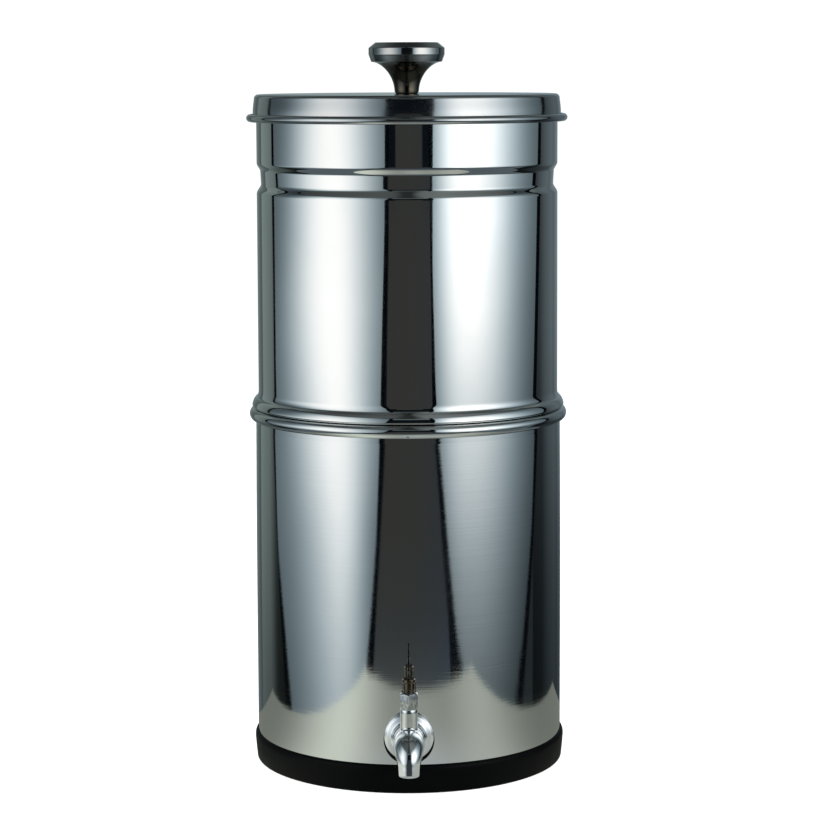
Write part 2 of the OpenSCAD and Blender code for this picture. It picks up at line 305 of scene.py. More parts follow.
# --------------------------------------------------------------------------
# Materials
# --------------------------------------------------------------------------
class Tree:
    def __init__(self, name):
        self.mat = bpy.data.materials.new(name)
        self.mat.use_nodes = True
        self.t = self.mat.node_tree
        self.t.nodes.clear()
        self.out = self.t.nodes.new("ShaderNodeOutputMaterial")
        self.p = self.t.nodes.new("ShaderNodeBsdfPrincipled")
        self.t.links.new(self.p.outputs["BSDF"], self.out.inputs["Surface"])
        self.co = self.t.nodes.new("ShaderNodeTexCoord").outputs["Object"]

    def node(self, kind, **values):
        n = self.t.nodes.new(kind)
        for k, v in values.items():
            setattr(n, k, v)
        return n

    def link(self, a, b):
        self.t.links.new(a, b)

    def scaled(self, sx, sy, sz, turn=(0, 0, 0)):
        n = self.node("ShaderNodeMapping")
        n.inputs["Scale"].default_value = (sx, sy, sz)
        n.inputs["Rotation"].default_value = turn
        self.link(self.co, n.inputs["Vector"])
        return n.outputs["Vector"]

    def noise(self, vector, scale=1.0, detail=2.0, rough=0.5, distortion=0.0):
        n = self.node("ShaderNodeTexNoise")
        n.inputs["Scale"].default_value = scale
        n.inputs["Detail"].default_value = detail
        n.inputs["Roughness"].default_value = rough
        n.inputs["Distortion"].default_value = distortion
        self.link(vector, n.inputs["Vector"])
        return n.outputs["Fac"]

    def remap(self, value, a, b, c, d, clamp=True):
        n = self.node("ShaderNodeMapRange")
        n.clamp = clamp
        for i, v in enumerate((a, b, c, d)):
            n.inputs[i + 1].default_value = v
        self.link(value, n.inputs[0])
        return n.outputs[0]

    def math(self, op, a, b=None):
        n = self.node("ShaderNodeMath", operation=op)
        for i, v in enumerate((a, b)):
            if v is None:
                continue
            if isinstance(v, (int, float)):
                n.inputs[i].default_value = v
            else:
                self.link(v, n.inputs[i])
        return n.outputs[0]

    def mix(self, fac, a, b):
        n = self.node("ShaderNodeMix", data_type="RGBA")
        if isinstance(fac, (int, float)):
            n.inputs["Factor"].default_value = fac
        else:
            self.link(fac, n.inputs["Factor"])
        for name, v in (("A", a), ("B", b)):
            sock = [s for s in n.inputs if s.name == name and s.type == "RGBA"][0]
            if isinstance(v, tuple):
                sock.default_value = (*v, 1)
            else:
                self.link(v, sock)
        return [s for s in n.outputs if s.type == "RGBA"][0]

    def bump(self, height, distance, strength=1.0, under=None):
        n = self.node("ShaderNodeBump")
        n.inputs["Strength"].default_value = strength
        n.inputs["Distance"].default_value = distance
        self.link(height, n.inputs["Height"])
        if under is not None:
            self.link(under, n.inputs["Normal"])
        return n.outputs["Normal"]

    def set(self, **values):
        for k, v in values.items():
            sock = self.p.inputs[k.replace("_", " ")]
            if isinstance(v, tuple) and len(v) == 3:
                sock.default_value = (*v, 1)
            elif isinstance(v, (int, float)):
                sock.default_value = v
            else:
                self.link(v, sock)


def steel(name, colour, dark, rough, brushed=0.0, smudges=0.03, waves=0.0, grain=0.0, aniso=0.0, fine=1.0):
    """Polished sheet: faint cloudy smudges in the gloss, and where it is brushed, fine lines round the axis. Where dark
    is near black, as on the nut, the cloudy patches are painted dark reflections, not smudges.
    """
    m = Tree(name)
    cloud = m.noise(m.scaled(16 * fine, 16 * fine, 11 * fine), 1.0, 4.0, 0.55)
    wipe = m.noise(m.scaled(30, 30, 210), 1.0, 3.0, 0.6, 0.3)
    cloud_patches = m.remap(cloud, 0.38, 0.68, 0.0, 1.0)
    colour_out = m.mix(m.math("MULTIPLY", cloud_patches, 0.6), colour, dark)
    gloss = m.math("MULTIPLY_ADD", cloud_patches, smudges)
    gloss.node.inputs[2].default_value = rough
    gloss = m.math("ADD", gloss, m.math("MULTIPLY", m.remap(wipe, 0.35, 0.75, -0.5, 1.0), smudges * 0.35))
    normal = None
    if waves:
        sag = m.noise(m.scaled(9, 9, 6), 1.0, 1.0, 0.4)
        normal = m.bump(sag, waves)
    if brushed:
        lines = m.noise(m.scaled(9, 9, 1500), 1.0, 3.0, 0.65)
        broad = m.noise(m.scaled(5, 5, 260), 1.0, 2.0, 0.6)
        both = m.math("ADD", m.math("MULTIPLY", lines, 0.6), m.math("MULTIPLY", broad, 0.5))
        normal = m.bump(both, 0.00006 * brushed, 1.0, normal)
        gloss = m.math("ADD", gloss, m.math("MULTIPLY", m.remap(lines, 0.3, 0.8, -0.4, 1.0), 0.05 * brushed))
        colour_out = m.mix(m.math("MULTIPLY", m.remap(lines, 0.25, 0.75, 0, 1), 0.22 * brushed), colour_out, dark)
    if grain:
        normal = m.bump(m.noise(m.scaled(900, 900, 900), 1.0, 3.0, 0.6), grain, 1.0, normal)
    m.set(Base_Color=colour_out, Metallic=1.0, Roughness=m.math("MAXIMUM", gloss, 0.02))
    if normal is not None:
        m.set(Normal=normal)
    if aniso:
        tangent = m.node("ShaderNodeTangent", direction_type="RADIAL", axis="Z")
        m.link(tangent.outputs[0], m.p.inputs["Tangent"])
        m.set(Anisotropic=aniso, Anisotropic_Rotation=0.25)
    return m.mat


def rubber(name, colour, light, rough=0.5, fine=0.00003):
    m = Tree(name)
    patch = m.noise(m.scaled(45, 45, 60), 1.0, 4.0, 0.6)
    pores = m.noise(m.scaled(1400, 1400, 1400), 1.0, 2.0, 0.5)
    dust = m.node("ShaderNodeTexVoronoi", feature="F1")
    dust.inputs["Scale"].default_value = 210
    m.link(m.co, dust.inputs["Vector"])
    speck = m.remap(dust.outputs["Distance"], 0.05, 0.11, 1.0, 0.0)
    few = m.remap(m.noise(m.scaled(120, 120, 120), 1.0, 1.0), 0.62, 0.7, 0.0, 1.0)
    colour_out = m.mix(m.remap(patch, 0.35, 0.75, 0, 1), colour, light)
    colour_out = m.mix(m.math("MULTIPLY", m.math("MULTIPLY", speck, few), 0.5), colour_out, (0.12, 0.12, 0.115))
    m.set(Base_Color=colour_out, Metallic=0.0, Specular_IOR_Level=0.07,
          Roughness=m.remap(patch, 0.3, 0.8, rough - 0.08, rough + 0.1),
          Normal=m.bump(pores, fine, 0.7))
    return m.mat


def plain(name, colour, light, rough, size, depth, metallic=0.0, spec=0.5, sub=0.0):
    """Moulded or porous stuff: two close colours in patches, with a fine bump."""
    m = Tree(name)
    patch = m.noise(m.scaled(60, 60, 60), 1.0, 4.0, 0.6)
    fine = m.noise(m.scaled(size, size, size), 1.0, 3.0, 0.6)
    m.set(Base_Color=m.mix(m.remap(patch, 0.35, 0.7, 0, 1), colour, light), Metallic=metallic,
          Roughness=m.remap(fine, 0.3, 0.75, rough - 0.06, rough + 0.08), Normal=m.bump(fine, depth, 0.8),
          Specular_IOR_Level=spec)
    if sub:
        m.set(Subsurface_Weight=sub)
        m.p.inputs["Subsurface Radius"].default_value = (0.004, 0.003, 0.002)
        m.p.inputs["Subsurface Scale"].default_value = 1.0
    return m.mat


STEEL = (0.80, 0.81, 0.80)
FILM = (0.70, 0.72, 0.71)
m_upper = steel("polished_sheet", STEEL, FILM, 0.035, smudges=0.03, waves=0.0004)
m_lid = steel("lid_sheet", (0.61, 0.62, 0.62), (0.50, 0.515, 0.515), 0.07, smudges=0.09, waves=0.0005)
m_lower = steel("brushed_sheet", (0.77, 0.785, 0.78), (0.70, 0.72, 0.71), 0.042, brushed=0.24, smudges=0.02, aniso=0.6)
m_tap = steel("tap_cast_polish", (0.86, 0.88, 0.89), (0.70, 0.72, 0.73), 0.085, smudges=0.06, grain=0.000006, fine=7)
m_flange = steel("tap_turned", (0.90, 0.915, 0.93), (0.82, 0.835, 0.85), 0.17, smudges=0.05, grain=0.00001, fine=6)
# painted dark reflection: the nut's grey tone and near-black cloudy blotches stand in for the dark it reflects
m_nut = steel("nut_painted_dark_reflection", (0.54, 0.56, 0.565), (0.01, 0.015, 0.02), 0.07, smudges=0.05, grain=0.00001, fine=38)
# painted dark reflection: the lever's near-black colour stands in for the dark gap its edge reflects
m_lever = steel("lever_painted_dark_reflection", (0.085, 0.088, 0.09), (0.05, 0.052, 0.055), 0.2, smudges=0.08, fine=7)


def knob_finish():
    """Black nickel on the head. Down the neck the plating is browner, and it is painted much darker as painted shade
    for the dark that the down-facing neck reflects.
    """
    m = Tree("knob_black_nickel")
    split = m.node("ShaderNodeSeparateXYZ")
    m.link(m.co, split.inputs[0])
    low = m.remap(split.outputs["Z"], (LID_TOP + 18) * MM, (LID_TOP + 25) * MM, 1.0, 0.0)
    cloud = m.noise(m.scaled(60, 60, 40), 1.0, 4.0, 0.55)
    cloud_patches = m.remap(cloud, 0.4, 0.7, 0.0, 1.0)
    head = m.mix(cloud_patches, (0.50, 0.50, 0.49), (0.42, 0.42, 0.41))
    # painted shade: the neck colour is a brown plating tone made much darker for the dark it reflects facing down
    neck = m.mix(cloud_patches, (0.17, 0.15, 0.115), (0.11, 0.095, 0.07))
    m.set(Base_Color=m.mix(low, head, neck), Metallic=1.0, Roughness=m.remap(cloud, 0.3, 0.75, 0.06, 0.15))
    return m.mat


m_knob = knob_finish()
m_bronze = steel("stem_bronze", (0.22, 0.175, 0.125), (0.10, 0.08, 0.055), 0.09, smudges=0.05, fine=20)
m_inner = steel("turned_steel", (0.62, 0.63, 0.63), (0.5, 0.51, 0.51), 0.22, smudges=0.08, grain=0.00002)
m_rubber = rubber("base_rubber", (0.0012, 0.0014, 0.0016), (0.003, 0.0033, 0.0036), 0.42)
m_washer = rubber("washer_rubber", (0.008, 0.008, 0.008), (0.014, 0.014, 0.014), 0.6)
m_ceramic = plain("ceramic", (0.80, 0.78, 0.72), (0.86, 0.845, 0.80), 0.75, 1100, 0.00006, spec=0.3, sub=0.1)
m_carbon = plain("carbon_block", (0.012, 0.012, 0.013), (0.03, 0.03, 0.03), 0.85, 700, 0.0002)
m_plastic = plain("white_plastic", (0.78, 0.79, 0.78), (0.82, 0.825, 0.82), 0.35, 500, 0.00001)
m_seal = plain("seal_plastic", (0.84, 0.84, 0.81), (0.88, 0.88, 0.86), 0.42, 500, 0.00001)
m_silicone = plain("silicone", (0.70, 0.70, 0.67), (0.76, 0.76, 0.73), 0.5, 500, 0.00001, sub=0.15)


def dress(ob, mat, body=None, replaces=()):
    ob.data.materials.clear()
    ob.data.materials.append(mat)
    for p in ob.data.polygons:
        p.material_index = 0
    if body:
        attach(ob, body)
    if replaces:
        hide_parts(*replaces)
    return ob


# --------------------------------------------------------------------------
# Lower chamber
# --------------------------------------------------------------------------
def low_r(z):
    return R_LOW - 0.7 * max(0.0, min(1.0, (z - 80) / 161)) ** 2


def shell(path, th=T):
    """Outline of a sheet of that thickness round its middle line, from the axis out and back to the axis."""
    p = tidy(path)
    outer, inner = beside(p, -th / 2), beside(p, th / 2)
    return supported(outer) + supported(inner[::-1])


r_rim = low_r(241) - H2
low_path = ([(0, 7.6), (30, 7.6), (60, 7.6), (84, 7.6)] + soft((86, 7.6), (91, 4.8), 14)
            + arc(R_LOW - H2 - 8, 4.8 + 8, 8, -90, 0, 24)
            + [(low_r(z) - H2, z) for z in (18, 24, 30, 38, 46, 54, 62, 70, 80, 92, 104, 116, 128, 140, 152, 164, 176, 188, 200, 210, 220, 230, 236, 240)]
            + arc(r_rim + 1, STACK_Z - H2 - 1, 1, 180, 100, 8)
            + arc(r_rim + 0.25, RIM_Z, BEAD_R - H2 - 0.01, 79, -75, 44))
lower = lathe("lower_shell", shell(low_path), seg=288)
hole = lathe("hole", [(0, 0), (8.3, 0), (8.3, 24), (0, 24)], seg=72, place=on_tap_axis(-R_LOW + 12), span=(0.2, 0.3, 0.975, 0.995))
cut(lower, hole)
lower.data.shade_smooth()
lower.data.set_sharp_from_angle(angle=math.radians(32))
dress(lower, m_lower, "lower_unit", ["lower_chamber"])

# --------------------------------------------------------------------------
# Rubber base ring
# --------------------------------------------------------------------------
seat = [p for p in beside(low_path, -H2) if p[0] > 92 and p[1] < RING_H - 1]
ring_outline = ([(92, 0.0), (99, 0.0)] + arc(RING_R - 1.25 - 2, 2, 2, -90, -4, 14)
                + bez((RING_R - 1.25, 2.3), (RING_R - 0.75, 6.4), (RING_R - 0.3, 11.5), (RING_R - 0.03, RING_H - 5.0), 12)
                + earc(R_LOW + 0.02, RING_H - 3.8, RING_R - R_LOW - 0.02, 3.8, 4, 88, 18)
                + [(R_LOW, RING_H - 0.15)] + seat[::-1] + [(92, FLOOR_LOW)])
ring = lathe("base_ring_rubber", supported(tidy(ring_outline) + [ring_outline[0]]), seg=256, smooth_angle=40)
dress(ring, m_rubber, "lower_unit", ["base_ring"])

# --------------------------------------------------------------------------
# Upper chamber
# --------------------------------------------------------------------------
bulge = earc(104.6, RIM_Z + 4.7, 5.1, 7.6, 15, 66, 26)
p0 = bulge[-1]
up_path = ([(0, FLOOR_UP + H2), (30, FLOOR_UP + H2), (60, FLOOR_UP + H2), (80, FLOOR_UP + H2)]
           + arc(NEST_R - 7, FLOOR_UP + H2 + 7, 7, -90, 0, 20)
           + arc(NEST_R + 1.6, STACK_Z + 0.3 + H2 - 1.6, 1.6, 180, 90, 10)
           + arc(109.6 - 1, STACK_Z + 0.3 + H2 + 1, 1, -90, 0, 10)
           + bulge
           + bez(p0, (p0[0] - 1.1, p0[1] + 0.75), (R_UP - 0.02, RIM_Z + 14.0), (R_UP + 0.4 - H2, RIM_Z + 17.5), 12)[1:]
           + [(R_UP + 0.4 - H2 - 0.3 * (z - 266) / 130, z) for z in (270, 280, 290, 300, 310, 320, 330, 340, 350, 360, 370, 380, 390, 398)]
           + soft((R_UP + 0.1 - H2, GROOVE_Z - 10.9), (R_UP - 2.95 - H2, GROOVE_Z - 4), 26)
           + soft((R_UP - 2.5 - H2, GROOVE_Z + 4.6), (R_UP - H2, GROOVE_Z + 10.6), 26)
           + [(R_UP - H2, z) for z in (432, 440, 450, 460)]
           + arc(R_UP - H2 - 2.1, MOUTH_Z - 2.5, 2.1, 8, 250, 36))
upper = lathe("upper_shell", shell(up_path), seg=288)
for s in (-1, 1):
    bore = lathe("bore", [(0, 0), (6.2, 0), (6.2, 12), (0, 12)], seg=64,
                 place=lambda x, y, h, s=s: ((s * CANDLE_X + x) * MM, y * MM, (FLOOR_UP - 5 + h) * MM),
                 span=(0.2 + 0.15 * s, 0.3 + 0.15 * s, 0.975, 0.995))
    cut(upper, bore)
upper.data.shade_smooth()
upper.data.set_sharp_from_angle(angle=math.radians(32))
dress(upper, m_upper, "upper_unit", ["upper_chamber"])

# --------------------------------------------------------------------------
# Lid and knob
# --------------------------------------------------------------------------
side = bez((LID_R - 3.5 - H2 + 2.6 * math.cos(math.radians(8)), LID_TOP - H2 - 2.6 + 2.6 * math.sin(math.radians(8))),
           (LID_R - 0.75 - H2, LID_TOP - 5.2), (LID_R - H2, LID_TOP - 8.5), (LID_R - H2, LID_TOP - 12.3), 14)
lid_path = ([(2.7, LID_TOP - H2), (30, LID_TOP - H2), (60, LID_TOP - H2), (90, LID_TOP - H2), (LID_R - 5, LID_TOP - H2)]
            + arc(LID_R - 3.5 - H2, LID_TOP - H2 - 2.6, 2.6, 86, 10, 16) + side
            + [(LID_R - H2, LID_TOP - 15)]
            + arc(LID_R - H2 + 2.285, LID_TOP - 16.3, 2.285, 184, 465, 60))
lid_p = tidy(lid_path)
lid_loop = supported(beside(lid_p, -H2)) + supported(beside(lid_p, H2)[::-1])
lid = lathe("lid_shell", supported(lid_loop + [lid_loop[0]]), seg=288)
dress(lid, m_lid, "lid_unit", ["lid"])

K = KNOB_R
knob_loop = rounded([
    (0, 0), (5.9, 0), (7.5, 0.0, 0.5), (8.3, 0.9, 0.6)]
    + bez((8.55, 2.4), (9.2, 13.2), (17.4, 21.7), (K - 1.8, 22.15), 44)
    + [(K - 0.25, KNOB_H - 8.95, 0.35), (K, KNOB_H - 8.4, 0.5), (K, KNOB_H - 3.95, 0.5), (K - 0.3, KNOB_H - 3.5, 0.4),
       (K - 4.4, KNOB_H - 0.2, 0.6), (K - 5.2, KNOB_H, 0.8), (0, KNOB_H)])
knob_loop = [(0, 14), (2.5, 14), (2.5, 0.0)] + [p for p in knob_loop if p[0] > 2.6 or p[1] > 20]
knob = lathe("knob", supported(knob_loop, longest=4, edge=0.2), seg=160, place=lambda x, y, h: (x * MM, y * MM, (LID_TOP + h) * MM), smooth_angle=50)
dress(knob, m_knob, "lid_unit", ["lid_knob"])

# --------------------------------------------------------------------------
# Tap
# --------------------------------------------------------------------------
fr = 16.7
flange = lathe("tap_flange_disc", supported(rounded([
    (8.1, 0), (fr, 0, 0.3), (fr, 1.7, 0.6), (fr - 1.6, 3.1, 3.0), (fr - 4.1, 4.1, 1.2), (fr - 4.7, 4.4, 0.4), (8.1, 4.4)], closed=True) + [(8.1, 0)], 2, 0.15),
    seg=128, place=on_tap_axis(WALL_Y - 2.05))
dress(flange, m_flange, "lower_unit", ["tap_flange"])

WASHER_R = 17.2


def hanging(x, y, h):
    """The washer hangs a little low on the shank, with its back on the chamber's curved wall."""
    y -= 2.6 * max(0.0, min(1.0, (math.hypot(x, y) - 8.6) / (WASHER_R - 9.2)))
    wall = -math.sqrt(R_LOW ** 2 - x * x)
    return x * MM, (wall + (WALL_Y - 2.04 - wall) * h / 2) * MM, (TAP_Z + y) * MM


washer = lathe("tap_washer_outer", supported(rounded([
    (8.2, 0), (WASHER_R, 0), (WASHER_R, 2, 0.35), (8.2, 2)], closed=True) + [(8.2, 0)], 2, 0.15), seg=128, place=hanging)
dress(washer, m_washer, "lower_unit", ["tap_outer_washer"])

# body and spout in one, with the waterway inside
def spout_at(u):
    """Centre and tilt of the spout's ring: a bend of 78 degrees, then a short length that comes level at the outlet."""
    if u <= 0.9:
        a = math.radians(78 * u / 0.9)
        return BEND_Y - BEND_R * math.sin(a), TAP_Z - BEND_R + BEND_R * math.cos(a), a
    w = (u - 0.9) / 0.1
    y, z, a = spout_at(0.9)
    return y + (BEND_Y - BEND_R - 0.9 - y) * w, z + (SPOUT_Z - z) * w, a + (math.pi / 2 - a) * w


def spout_rad(u):
    return VALVE_R - (VALVE_R - OUTLET_R + 0.08) * u**1.35


def sweep(name, rings, seg=96):
    """rings: (y, z, angle, radius) from the back cap round to the inner cap."""
    verts, faces = [], []
    for y, z, a, r in rings:
        for k in range(seg):
            q = 2 * math.pi * k / seg
            verts.append((r * math.cos(q) * MM, (y - r * math.sin(q) * math.sin(a)) * MM, (z + r * math.sin(q) * math.cos(a)) * MM))
    for i in range(len(rings) - 1):
        for k in range(seg):
            k1 = (k + 1) % seg
            faces.append((i * seg + k, (i + 1) * seg + k, (i + 1) * seg + k1, i * seg + k1))
    for i, flip in ((0, False), (len(rings) - 1, True)):
        y, z, a, r = rings[i]
        c = len(verts)
        verts.append((0, y * MM, z * MM))
        for k in range(seg):
            k1 = (k + 1) % seg
            faces.append((c, i * seg + k, i * seg + k1) if not flip else (c, i * seg + k1, i * seg + k))
    ob = mesh_object(name, verts, faces, 35)
    orient(ob)
    return ob


rings = [(BODY_Y0, TAP_Z, 0, VALVE_R + 0.6)]
rings += [(BODY_Y0 - h, TAP_Z, 0, r) for h, r in ((0.12, VALVE_R + 0.82), (0.35, VALVE_R + 0.9), (1.05, VALVE_R + 0.9), (1.3, VALVE_R + 0.8), (2.2, VALVE_R + 0.08), (2.6, VALVE_R))]
rings += [(BODY_Y0 - h, TAP_Z, 0, VALVE_R) for h in (4, 7, 10, 13, 16)]
STEPS = 54
rings += [(*spout_at(i / STEPS * 0.975), spout_rad(i / STEPS * 0.975)) for i in range(STEPS + 1)]
lip = [(0.75, 0.02), (0.45, 0.12), (0.2, 0.35), (0.06, 0.62), (0.0, 0.95)]
tip = BEND_Y - BEND_R - 0.9
rings += [(tip, SPOUT_Z + up, math.pi / 2, OUTLET_R - 0.08 - inn) for up, inn in lip]
rings += [(tip + 0.2, SPOUT_Z, math.pi / 2, 5.0), (tip + 0.6, SPOUT_Z + 0.1, math.pi / 2, 4.62), (tip + 0.9, SPOUT_Z + 0.4, math.pi / 2, 4.5)]
rings += [(BEND_Y - BEND_R * math.sin(a), TAP_Z - BEND_R + BEND_R * math.cos(a), a, 4.5) for a in [math.pi / 2 * (1 - i / 30) for i in range(31)]]
rings += [(TAP_Y - 6.5, TAP_Z, 0, 4.5)]
spout = sweep("spout", rings)

# tower with a small fillet that follows the valve body's round back
TR, FIL, TH = 5.97, 1.15, 23.4
seg = 96
prof = [(TR - 0.35, TH), (TR - 0.12, TH - 0.06), (TR, TH - 0.3), (TR, TH - 2.5), (TR, TH - 6), (TR, TH - 9)]
verts, faces = [], []
ring_ids = []
for r, h in prof:
    ring_ids.append([])
    for k in range(seg):
        a = 2 * math.pi * k / seg
        ring_ids[-1].append(len(verts))
        verts.append((r * math.sin(a), r * math.cos(a), h))
for j in range(11):
    ring_ids.append([])
    w = j / 10
    for k in range(seg):
        a = 2 * math.pi * k / seg
        def back(rho):
            return math.sqrt(max(0.0, VALVE_R**2 - (rho * math.sin(a)) ** 2))
        A = Vector((TR, back(TR) + FIL * 1.25))
        C = Vector((TR + FIL, back(TR + FIL)))
        slope = (back(TR + FIL + 0.05) - back(TR + FIL)) / 0.05
        B = Vector((TR, C.y - slope * FIL))
        q = A * (1 - w) ** 2 + B * 2 * w * (1 - w) + C * w**2
        ring_ids[-1].append(len(verts))
        verts.append((q.x * math.sin(a), q.x * math.cos(a), q.y))
for rho, drop in ((TR + FIL + 0.15, 0.12), (TR, 1.6)):
    ring_ids.append([])
    for k in range(seg):
        a = 2 * math.pi * k / seg
        z = math.sqrt(max(0.0, VALVE_R**2 - (min(rho, TR + FIL) * math.sin(a)) ** 2)) - drop
        ring_ids[-1].append(len(verts))
        verts.append((rho * math.sin(a), rho * math.cos(a), z))
for A, B in zip(ring_ids, ring_ids[1:]):
    for k in range(seg):
        k1 = (k + 1) % seg
        faces.append((A[k], B[k], B[k1], A[k1]))
top, bottom = len(verts), len(verts) + 1
verts += [(0, 0, TH), (0, 0, VALVE_R - 4.5)]
for k in range(seg):
    k1 = (k + 1) % seg
    faces.append((top, ring_ids[0][k], ring_ids[0][k1]))
    faces.append((bottom, ring_ids[-1][k1], ring_ids[-1][k]))
tower = mesh_object("tower", [(x * MM, (TAP_Y + y) * MM, (TAP_Z + z) * MM) for x, y, z in verts], faces, 35)
orient(tower)
tap = joined(spout, tower)
tap.name = "tap_casting"
dress(tap, m_tap, "lower_unit", ["tap_body", "tap_spout"])

# hexagonal gland nut with turned chamfers
hex_v, hex_f = [], []
for z in (23.4, 35.0):
    for k in range(6):
        a = math.radians(30 + 60 * k)
        hex_v.append((12 / math.cos(math.radians(30)) / 2 * math.cos(a) * MM, (TAP_Y + 12 / math.cos(math.radians(30)) / 2 * math.sin(a)) * MM, (TAP_Z + z) * MM))
hex_f = [tuple(range(5, -1, -1)), tuple(range(6, 12))] + [(k, (k + 1) % 6, 6 + (k + 1) % 6, 6 + k) for k in range(6)]
gland = mesh_object("gland_nut", hex_v, hex_f, 30)
orient(gland)
crown = lathe("crown", [(0, 0), (6.35, 0), (7.3, 0.75), (7.3, 9.6), (5.1, 11.6), (0, 11.6)], seg=96, place=on_stem(TAP_Z + 23.4))
cut(gland, crown, "INTERSECT")
bevelled(gland, 0.16, 3, 25)
gland.data.set_sharp_from_angle(angle=math.radians(28))
inner = lathe("gland_foot", [(0, 0), (4.95, 0), (4.95, 4.3), (0, 4.3)], seg=64, place=on_stem(TAP_Z + 19.3))
joined(gland, inner)
dress(gland, m_nut, "lower_unit", ["tap_gland_nut"])

sleeve = lathe("stem_sleeve", supported(rounded([
    (2.99, 0), (3.95, 0, 0.1), (3.95, 0.7, 0.1), (3.72, 1.0, 0.1), (3.72, 1.5, 0.1), (3.95, 1.8, 0.1), (3.95, 5.9, 0.2), (3.7, 6.2, 0.1), (2.99, 6.2)], closed=True) + [(2.99, 0)], 1.5, 0.12),
    seg=96, place=on_stem(TAP_Z + 35.1))
dress(sleeve, m_bronze, "tap_valve", ["tap_stem_sleeve"])

cap = lathe("stem_cap", supported(rounded([
    (0, 0), (4.1, 0, 0.2), (4.55, 0.5, 0.3), (4.55, 2.1, 0.5), (3.7, 2.98, 0.6), (0, 2.98)]), 1.5, 0.12), seg=96, place=on_stem(STEM_TOP))
dress(cap, m_bronze, "tap_valve", ["tap_stem_cap"])

# lever: an oval plate, edge-on to the front
blade_h, blade_l = 15.0, 27.0
outline = []
cz = 1 + blade_h / 2 + 0.6
ax, az_ = blade_l / 2 * (blade_h - 1.2) / blade_h, (blade_h - 1.2) / 2
for k in range(96):
    a = math.radians(-90 + 360 * k / 96)
    y, z = ax * math.cos(a), cz + az_ * math.sin(a)
    if z < 6.2 and abs(y) < 3.0:
        continue
    outline.append((y, z))
i0 = min(range(len(outline)), key=lambda i: (outline[i][1] if outline[i][0] > 0 else 99))
outline = outline[i0:] + outline[:i0]
foot_r = [(3.0, 0.0), (3.0, outline[0][1] - 1.2), (3.25, outline[0][1] - 0.35)]
outline = foot_r + outline + [(-x, z) for x, z in foot_r[::-1]]
n = len(outline)
bv = []
inset = [(0.75, 0.26), (0.69, 0.10), (0.57, 0.02), (0.42, 0.0)]


def shrunk(poly, d):
    out = []
    m = len(poly)
    for i in range(m):
        a, b, c = Vector(poly[i - 1]), Vector(poly[i]), Vector(poly[(i + 1) % m])
        e1, e2 = (b - a).normalized(), (c - b).normalized()
        nrm = Vector((-(e1 + e2).y, (e1 + e2).x))
        nrm = nrm.normalized() if nrm.length > 1e-6 else Vector((0, 0))
        out.append((b.x + nrm.x * d, b.y + nrm.y * d))
    return out


layers = [(x, ins) for x, ins in inset] + [(-x, ins) for x, ins in inset[::-1]]
verts, faces = [], []
for x, ins in layers:
    for y, z in shrunk(outline, ins):
        verts.append((x * MM, (TAP_Y + y) * MM, (STEM_TOP + 2 + max(0.0, z)) * MM))
for i in range(len(layers) - 1):
    for k in range(n):
        k1 = (k + 1) % n
        faces.append((i * n + k, (i + 1) * n + k, (i + 1) * n + k1, i * n + k1))
faces.append(tuple(range(n)))
faces.append(tuple(range((len(layers) - 1) * n + n - 1, (len(layers) - 1) * n - 1, -1)))
blade = mesh_object("lever_blade", verts, faces, 40)
orient(blade)
dress(blade, m_lever, "tap_valve", ["tap_handle"])

# --------------------------------------------------------------------------
# CAD pieces that stay, with their own finishes
# --------------------------------------------------------------------------
kept = {
    "tap_inner_washer": m_washer, "tap_shank": m_tap, "tap_back_nut": m_inner,
    "tap_seat_front": m_seal, "tap_seat_rear": m_seal, "tap_packing": m_seal, "tap_ball": m_inner, "tap_stem": m_bronze,
    "candle_left": m_ceramic, "candle_right": m_ceramic, "carbon_core_left": m_carbon, "carbon_core_right": m_carbon,
    "candle_base_left": m_plastic, "candle_base_right": m_plastic, "candle_washer_left": m_washer,
    "candle_washer_right": m_washer, "wing_nut_left": m_plastic, "wing_nut_right": m_plastic,
    "knob_gasket": m_silicone, "knob_washer": m_inner, "knob_screw": m_inner,
}
for name, mat in kept.items():
    ob = nodes[name]
    ob.data.materials.clear()
    ob.data.materials.append(mat)

# --------------------------------------------------------------------------
# Studio: softboxes left and right, a dark gap between them, a small table, and a pale floor
# --------------------------------------------------------------------------
RHO = 1.45


def glow_material():
    m = bpy.data.materials.new("studio_glow")
    m.use_nodes = True
    t = m.node_tree
    t.nodes.clear()
    a = t.nodes.new("ShaderNodeAttribute")
    a.attribute_name = "light"
    e = t.nodes.new("ShaderNodeEmission")
    o = t.nodes.new("ShaderNodeOutputMaterial")
    t.links.new(a.outputs["Color"], e.inputs["Color"])
    t.links.new(e.outputs[0], o.inputs["Surface"])
    return m


glow = glow_material()


def quiet(ob, camera=False, diffuse=True, glossy=True, shadow=False):
    ob.visible_camera = camera
    ob.visible_diffuse = diffuse
    ob.visible_glossy = glossy
    ob.visible_transmission = glossy
    ob.visible_shadow = shadow


def sheet_light(name, grid, colour, nu, nv, **flags):
    """grid(u, v) gives a point in metres, colour(u, v) its light."""
    verts, cols, faces = [], [], []
    for j in range(nv + 1):
        for i in range(nu + 1):
            u, v = i / nu, j / nv
            verts.append(grid(u, v))
            cols += [*colour(u, v), 1.0]
    for j in range(nv):
        for i in range(nu):
            a = j * (nu + 1) + i
            faces.append((a, a + 1, a + nu + 2, a + nu + 1))
    me = bpy.data.meshes.new(name)
    me.from_pydata(verts, [], faces)
    at = me.attributes.new("light", "FLOAT_COLOR", "POINT")
    at.data.foreach_set("color", np.array(cols, np.float32))
    me.materials.append(glow)
    ob = bpy.data.objects.new(name, me)
    scene.collection.objects.link(ob)
    quiet(ob, **flags)
    return ob


